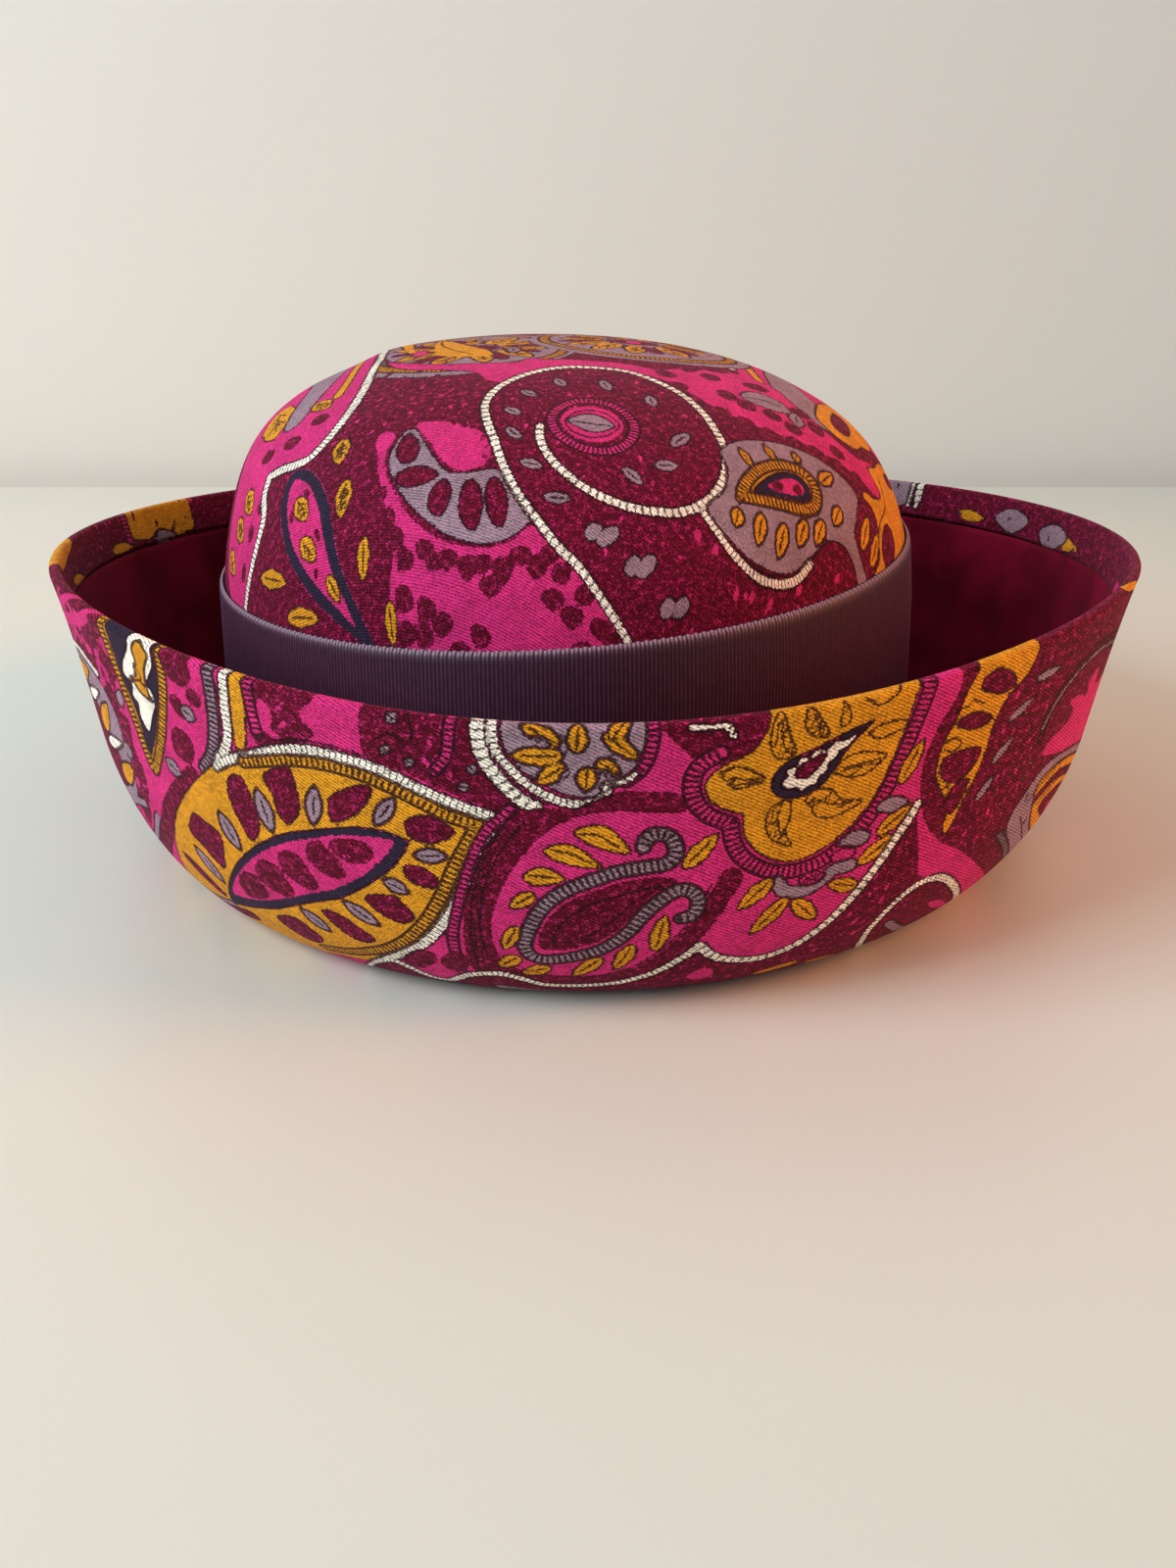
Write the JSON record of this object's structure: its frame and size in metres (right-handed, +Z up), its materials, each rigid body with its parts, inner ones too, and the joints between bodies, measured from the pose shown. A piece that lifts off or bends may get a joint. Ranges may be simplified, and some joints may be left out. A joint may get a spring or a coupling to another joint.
{
  "type": "turned-up brim cloth hat",
  "caption": "Domed cloth hat with a deep brim turned up into a bowl, a velvety lining and a ribbon band; worn on the head, rests on its brim.",
  "frame": {"origin": "on the table under the centre of the rim, where the hat rests", "axes": "+Z up, +X to the wearer's left end of the oval as seen from the front, -Y towards the front of the picture"},
  "size_m": [0.2658, 0.2784, 0.1175],
  "materials": {
    "printed_cloth_crown": "printed twill, matt",
    "printed_cloth_brim": "printed twill, matt",
    "burgundy_velvet": "short pile, soft sheen",
    "plum_grosgrain": "ribbed ribbon, faint sheen"
  },
  "bodies": {
    "root": {"crown": "printed_cloth_crown", "brim": "printed_cloth_brim", "brim_lining": "burgundy_velvet", "ribbon": "plum_grosgrain"}
  },
  "joints": []
}
